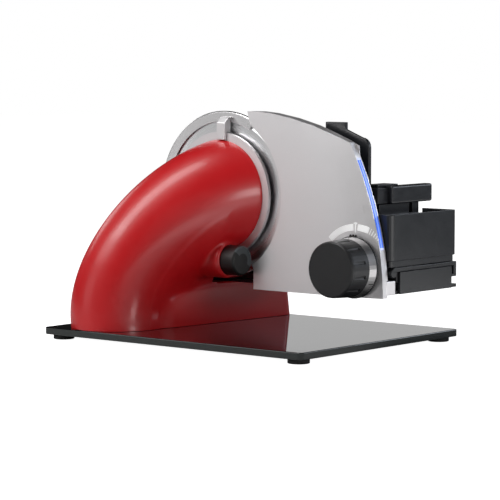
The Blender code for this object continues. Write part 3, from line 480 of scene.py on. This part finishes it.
def housing_distance(p):
    """Roughly how far each point lies outside the housing's skin."""
    x, y, z = p[:, 0], p[:, 1], p[:, 2]
    across, up = TUBE_END_X - x, z - HOUSING_BOTTOM
    turn = np.arctan2(across, up)
    u = turn / (pi / 2)
    reach, back, radius = hook_section(np.clip(u, 0, 1))
    out = np.where(u < 0, up, np.where(u > 1, across, np.hypot(across, up)))
    tube = np.hypot(out - reach, y - back) - radius

    # Fairing: from the hook's foremost line back to the foot's front wall
    level = np.cos(np.clip(turn, 0, pi / 2))
    line_z = HOUSING_BOTTOM + reach * level
    retreat = ease((x - WEB_RETREAT_X) / (TUBE_END_X - WEB_RETREAT_X))
    line_y = back - radius + WEB_RETREAT * retreat
    drop = np.maximum(line_z - FOOT_TOP, 0)
    fall = np.sqrt(drop ** 2 / np.maximum(level, LEAST_LEVEL) ** 2 + WEB_FALL ** 2)
    share = np.clip((reach - out) / fall, 0, 1)
    landing = (foot_front(x) - line_y - WEB_INSET) * ease(share ** WEB_EASE)
    front = line_y + WEB_INSET + landing - y
    end = x - (TUBE_END_X + HOOK_END)
    web = soft_max(y - web_back(x), out - reach, 4.0)
    web = soft_max(web, end, 2.0)

    lean = (z - HOUSING_BOTTOM) / (FOOT_TOP - HOUSING_BOTTOM)
    foot = soft_max(y - foot_back(x), z - FOOT_TOP, FOOT_TOP_EDGE)
    foot = np.maximum(foot, LEG_X + 2 - x)
    right = x - (FOOT_RIGHT - FOOT_LEAN * lean)
    body = soft_max(FRONT_SCALE * front, soft_min(web, foot, FOOT_BLEND), 3.0)
    body = soft_max(body, right, FOOT_RIGHT_EDGE)

    pod = np.hypot(x - POD_X, z - POD_Z) - POD_RADIUS
    pod = soft_max(soft_max(pod, POD_MOUTH - y, POD_LIP), y - POD_BACK, 2.0)
    skin = soft_min(soft_max(tube, end, 2.0), body, CREASE)
    return soft_max(soft_min(skin, pod, POD_BLEND), HOUSING_BOTTOM - SKIRT_BELOW - z, 3.0)


def slope(f, p):
    """Value and gradient of a distance function at many points."""
    step = 0.05
    grad = np.empty_like(p)
    for axis in range(3):
        shift = np.zeros(3)
        shift[axis] = step
        grad[:, axis] = (f(p + shift) - f(p - shift)) / (2 * step)
    return f(p), grad


def settle(f, p):
    """Move points onto the surface where f is zero."""
    rounds, least_slope, longest = 6, 0.05, 3.0
    for _ in range(rounds):
        value, grad = slope(f, p)
        size = np.maximum((grad ** 2).sum(1), least_slope)
        p = p - grad * (value / size)[:, None].clip(-longest, longest)
    return p


def surface_net(f, low, high, pitch):
    """Points and quads of the surface where f crosses zero, on an even grid."""
    axes = [np.arange(a, b + pitch, pitch) for a, b in zip(low, high)]
    grid = np.stack(np.meshgrid(*axes, indexing="ij"), -1)
    shape = grid.shape[:3]
    inside = np.concatenate([f(part.reshape(-1, 3)) for part in grid]).reshape(shape) < 0
    nx, ny, nz = (count - 1 for count in shape)
    corners = sum(inside[i:nx + i, j:ny + j, k:nz + k].astype(int)
                  for i in (0, 1) for j in (0, 1) for k in (0, 1))
    mixed = (corners > 0) & (corners < 8)
    number = np.full(mixed.shape, -1)
    number[mixed] = np.arange(mixed.sum())
    points = grid[:-1, :-1, :-1][mixed] + pitch / 2
    quads = []
    for axis in range(3):
        one, two = [a for a in range(3) if a != axis]
        moved = np.moveaxis(inside, (axis, one, two), (0, 1, 2))
        cells = np.moveaxis(number, (axis, one, two), (0, 1, 2))
        change = moved[:-1, 1:-1, 1:-1] != moved[1:, 1:-1, 1:-1]
        leaving = moved[:-1, 1:-1, 1:-1] & change
        a, b = cells[:, :-1, :-1], cells[:, 1:, :-1]
        c, d = cells[:, 1:, 1:], cells[:, :-1, 1:]
        flip = axis == 1
        for mask, forward in ((leaving, not flip), (change & ~leaving, flip)):
            ring = [a[mask], b[mask], c[mask], d[mask]]
            quads.append(np.stack(ring if forward else ring[::-1], 1))
    return points, np.concatenate(quads)


def open_ends(obj):
    """Take away the flat faces that close the hook's end and the housing's underside."""
    near, square = 0.02 * MM, 0.999
    bm = bmesh.new()
    bm.from_mesh(obj.data)
    caps = []
    for face in bm.faces:
        middle = face.calc_center_median()
        if ((face.normal.x > square and abs(middle.x - TUBE_END_X * MM) < near)
                or (face.normal.z < -square and abs(middle.z - HOUSING_BOTTOM * MM) < near)):
            caps.append(face)
    bmesh.ops.delete(bm, geom=caps, context='FACES')
    bm.to_mesh(obj.data)
    bm.free()


def motor_housing():
    """Smooth hollow shell with the hook, its fairing, the foot and the button's pod in one."""
    points, quads = surface_net(housing_distance, NET_LOW, NET_HIGH, PITCH)
    points = settle(housing_distance, points)
    mesh = mesh_from("housing_skin", points * MM, quads)
    obj = object_from("housing_skin", mesh, RED, "base")
    cut_with(obj,
             cutter("end_cut", "block", (TUBE_END_X + 15, 50, 140), (30, 220, 166.8)),
             cutter("floor_cut", "block", (0, 70, HOUSING_BOTTOM - 15), (400, 300, 30)))
    open_ends(obj)
    shell = obj.modifiers.new("wall", 'SOLIDIFY')
    shell.thickness = WALL * MM
    shell.offset = -1.0
    apply_modifiers(obj)
    cut_with(obj,
             cutter("button_bore", "rod", (POD_X, 22, POD_Z), (16.0, 36)),
             cutter("gland_bore", "rod", (60, 146, 30), (5.2, 30)))
    obj.data.shade_smooth()
    obj.data.set_sharp_from_angle(angle=radians(50))
    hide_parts("motor_housing")


motor_housing()


# ---------------------------------------------------------------- scale and marks

NOSE_CURVE, NOSE_CURVE_DEPTH = 60.0, 6.0    # stop plate's curve towards its front edge
PRINT_LIFT, PRINT_THICK = 0.12, 0.1
SCALE_STEP = 1.5            # degrees
SCALE_PATCHES = (
    # (inner radius, outer radius, start, end): the crescent, its ticks, then the index mark
    (37.0, 43.5, -48.0, -3.5),
    (37.0, 43.5, 3.5, 22.0),
    *((37.0, 43.3 - 0.9 * i, 25.0 + 4.2 * i - 0.7, 25.0 + 4.2 * i + 0.7) for i in range(5)),
    (35.0, 45.0, -0.9, 0.9),
    (43.6, 45.0, -2.6, -1.0),
    (43.6, 45.0, 1.0, 2.6),
)
SKIRT_LEFT, SKIRT_RIGHT = -14.4, -4.6       # X of the dial skirt's ends
SKIRT_LEFT_RADIUS, SKIRT_RIGHT_RADIUS = 29.4, 30.9
MARK_COUNT, MARK_STEP, LONG_EVERY = 61, -4.0, 5
MARK_INSET = 0.7
MARK_HEIGHTS = (0.12, -0.15)                # above and below the skirt's surface
BUMP_X, BUMP_RADIUS, BUMP_SHAPE = -3.3, 31.6, (1.1, 1.5, 1.9, 1.0)


def nose(z):
    """Y of the stop plate's leaning front edge."""
    return -169.0 + 0.0030 * np.maximum(z - STOP_BOTTOM - 3.0, 0.0) ** 1.9


def plate_x(y, z):
    """X of the stop plate's left face, which curves in towards the front edge."""
    along = np.clip((y - nose(z)) / NOSE_CURVE, 0, 1)
    return STOP_LEFT + NOSE_CURVE_DEPTH * (1 - along) ** 2


def around_dial(radius, degrees):
    """(Y, Z) round the dial's axis; 0 degrees is straight up, positive towards the user."""
    a = radians(degrees)
    return DIAL_Y - radius * sin(a), DIAL_Z + radius * cos(a)


def printed_patch(points, faces, inner, outer, start, end):
    """Add a thin raised sector of the scale to the lists of points and faces."""
    columns = max(2, int(abs(end - start) / SCALE_STEP) + 1)
    first = len(points)
    for layer in (PRINT_LIFT, PRINT_LIFT - PRINT_THICK):
        for i in range(columns + 1):
            for radius in (inner, outer):
                y, z = around_dial(radius, start + (end - start) * i / columns)
                points.append(((plate_x(y, z) - layer) * MM, y * MM, z * MM))
    size = 2 * (columns + 1)
    for i in range(columns):
        a = first + 2 * i
        faces.append((a, a + 1, a + 3, a + 2))
        b = a + size
        faces.append((b, b + 2, b + 3, b + 1))
        faces.append((a, a + 2, b + 2, b))
        faces.append((a + 1, b + 1, b + 3, a + 3))
    last, low = first + 2 * columns, first + size
    faces.append((first, low, low + 1, first + 1))
    faces.append((last, last + 1, last + size + 1, last + size))


def printed_scale():
    """White crescent over the dial, with an index mark and a fan of fine ticks."""
    points, faces = [], []
    for patch in SCALE_PATCHES:
        printed_patch(points, faces, *patch)
    mesh = mesh_from("scale_print", points, faces, smooth=False)
    object_from("scale_print", mesh, PRINT, "stop")


def box_between(points, faces, corners_near, corners_far):
    """Add a six-sided block from two rings of four corners."""
    n = len(points)
    points.extend(corners_near + corners_far)
    faces.extend([(n, n + 1, n + 2, n + 3), (n + 7, n + 6, n + 5, n + 4)])
    for i in range(4):
        j = (i + 1) % 4
        faces.append((n + j, n + i, n + 4 + i, n + 4 + j))


def skirt_marks():
    """Fine ticks round the dial's skirt, longer at every fifth."""
    points, faces = [], []
    base = SKIRT_RIGHT - MARK_INSET
    widening = SKIRT_RIGHT_RADIUS - SKIRT_LEFT_RADIUS
    for i in range(MARK_COUNT):
        length, half_angle = (6.2, 0.9) if i % LONG_EVERY == 0 else (3.2, 0.6)
        rings = []
        for lift in MARK_HEIGHTS:
            ring = []
            for x, side in ((base, -1), (base, 1), (base - length, 1), (base - length, -1)):
                share = (x - SKIRT_LEFT) / (SKIRT_RIGHT - SKIRT_LEFT)
                radius = SKIRT_LEFT_RADIUS + widening * share + lift
                y, z = around_dial(radius, MARK_STEP * i + side * half_angle)
                ring.append((x * MM, y * MM, z * MM))
            rings.append(ring)
        box_between(points, faces, *rings)
    mesh = mesh_from("skirt_marks", points, faces, smooth=False)
    object_from("skirt_marks", mesh, DARK_PRINT, "dial")


def index_bumps():
    """Three small raised points on the dial's rim that mark its rest position."""
    bm = bmesh.new()
    for degrees in (-6.0, 0.0, 6.0):
        y, z = around_dial(BUMP_RADIUS, degrees)
        matrix = (Matrix.Translation(Vector((BUMP_X, y, z)) * MM)
                  @ Matrix.Rotation(radians(degrees), 4, 'X')
                  @ Matrix.Diagonal(BUMP_SHAPE))
        bmesh.ops.create_uvsphere(bm, u_segments=16, v_segments=10, radius=1.0 * MM,
                                  matrix=matrix)
    mesh = bpy.data.meshes.new("index_bumps")
    bm.to_mesh(mesh)
    bm.free()
    mesh.shade_smooth()
    object_from("index_bumps", mesh, KNOB, "dial")


printed_scale()
skirt_marks()
index_bumps()


# ---------------------------------------------------------------- stage, light, camera

FLOOR_HALF, FLOOR_TOP = 6.0, -0.0004
SUBJECT = Vector((0, 0, 0.12))      # middle of the slicer, which the long strip faces
LENS, SENSOR = 176.9, 36.0          # millimetres
CAMERA_AT = (-1.9629, -1.6308, 0.3068)
CAMERA_TILT, CAMERA_HEADING = 85.235, -50.27
DIM_WORLD = 0.20
WHITE, COOL = (1, 1, 1), (0.84, 0.90, 1.0)
STRIP = {"start": (-1.10, 0.60, 0.80), "end": (-0.20, 0.11, 1.70), "width": 0.45, "power": 15}
AREA_LIGHTS = (
    # (name, place, aim, size, watts, colour)
    ("left_wall", (-1.7, 1.1, 1.15), (0, 0, 0.20), (1.2, 0.7), 8, WHITE),
    ("left_card", (-1.7, 1.4, 0.30), (0, 0, 0.16), (0.9, 0.5), 1.5, WHITE),
    ("front_left", (-1.6, -1.5, 0.9), (0, 0, 0.12), (1.2, 1.0), 1.0, WHITE),
    ("front", (-0.30, -2.0, 0.40), (0, 0, 0.12), (0.5, 0.42), 8, WHITE),
    ("floor_bounce", (-0.1, -0.74, 0.004), (-0.1, -0.74, 1.0), (1.2, 0.9), 6, WHITE),
    ("right_front", (1.9, -1.25, 0.80), (0, 0, 0.12), (0.9, 0.8), 9, COOL),
    ("back_rim", (0.32, 2.0, 0.85), (-0.05, 0.10, 0.12), (0.9, 0.5), 3, WHITE),
    ("back_card", (2.05, 1.10, 0.22), (0, 0, 0.02), (0.9, 0.5), 0.85, WHITE),
)


def floor():
    """Matt table that reads as plain white to the camera and is grey to all other light."""
    half, top = FLOOR_HALF, FLOOR_TOP
    corners = [(-half, -half, top), (half, -half, top), (half, half, top), (-half, half, top)]
    obj = linked("floor", mesh_from("floor", corners, [(0, 1, 2, 3)]))
    material = new_material("floor", (0.55, 0.55, 0.55), 0.9, Emission_Color=(1, 1, 1, 1))
    bump(material, noise(material, 60.0), 0.01, 0.0005)
    into(material, "Emission Strength",
         add(material, "ShaderNodeLightPath").outputs["Is Camera Ray"])
    dress(obj, material)


def soft_box(name, size, power, colour=WHITE):
    """An area light that has still to be placed."""
    data = bpy.data.lights.new(name, 'AREA')
    data.shape = 'RECTANGLE'
    data.size, data.size_y = size
    data.energy = power
    data.color = colour
    return linked(name, data)


def area_light(name, at, aim, size, power, colour):
    obj = soft_box(name, size, power, colour)
    obj.location = at
    direction = Vector(aim) - Vector(at)
    obj.rotation_euler = direction.to_track_quat('-Z', 'Y').to_euler()


def strip_light(start, end, width, power):
    """A long soft box between two places, facing the slicer."""
    start, end = Vector(start), Vector(end)
    along = (end - start).normalized()
    middle = (start + end) / 2
    inward = SUBJECT - middle
    inward = (inward - along * inward.dot(along)).normalized()
    aside = (-inward).cross(along)
    turn = Matrix((along, aside, -inward)).transposed()
    obj = soft_box("long_strip", ((end - start).length, width), power)
    obj.matrix_world = Matrix.Translation(middle) @ turn.to_4x4()


def world():
    """White seen directly, and a soft even grey for what lights and reflects."""
    made = bpy.data.worlds.new("studio")
    bpy.context.scene.world = made
    made.use_nodes = True
    tree = made.node_tree
    output = next(n for n in tree.nodes if n.type == 'OUTPUT_WORLD')
    dim = next(n for n in tree.nodes if n.type == 'BACKGROUND')
    dim.inputs["Strength"].default_value = DIM_WORLD
    white = tree.nodes.new("ShaderNodeBackground")
    white.inputs["Color"].default_value = (*WHITE, 1)
    white.inputs["Strength"].default_value = 1.0
    ray = tree.nodes.new("ShaderNodeLightPath")
    either = tree.nodes.new("ShaderNodeMixShader")
    tree.links.new(ray.outputs["Is Camera Ray"], either.inputs[0])
    tree.links.new(dim.outputs[0], either.inputs[1])
    tree.links.new(white.outputs[0], either.inputs[2])
    tree.links.new(either.outputs[0], output.inputs["Surface"])


def camera():
    """Low three-quarter view from the front left with a long lens."""
    data = bpy.data.cameras.new("camera")
    data.lens = LENS
    data.sensor_width = SENSOR
    data.clip_end = 50.0
    obj = linked("camera", data)
    obj.location = CAMERA_AT
    obj.rotation_euler = (radians(CAMERA_TILT), 0.0, radians(CAMERA_HEADING))
    bpy.context.scene.camera = obj


floor()
world()
camera()
strip_light(**STRIP)
for light in AREA_LIGHTS:
    area_light(*light)
bpy.context.scene.view_settings.view_transform = 'Standard'
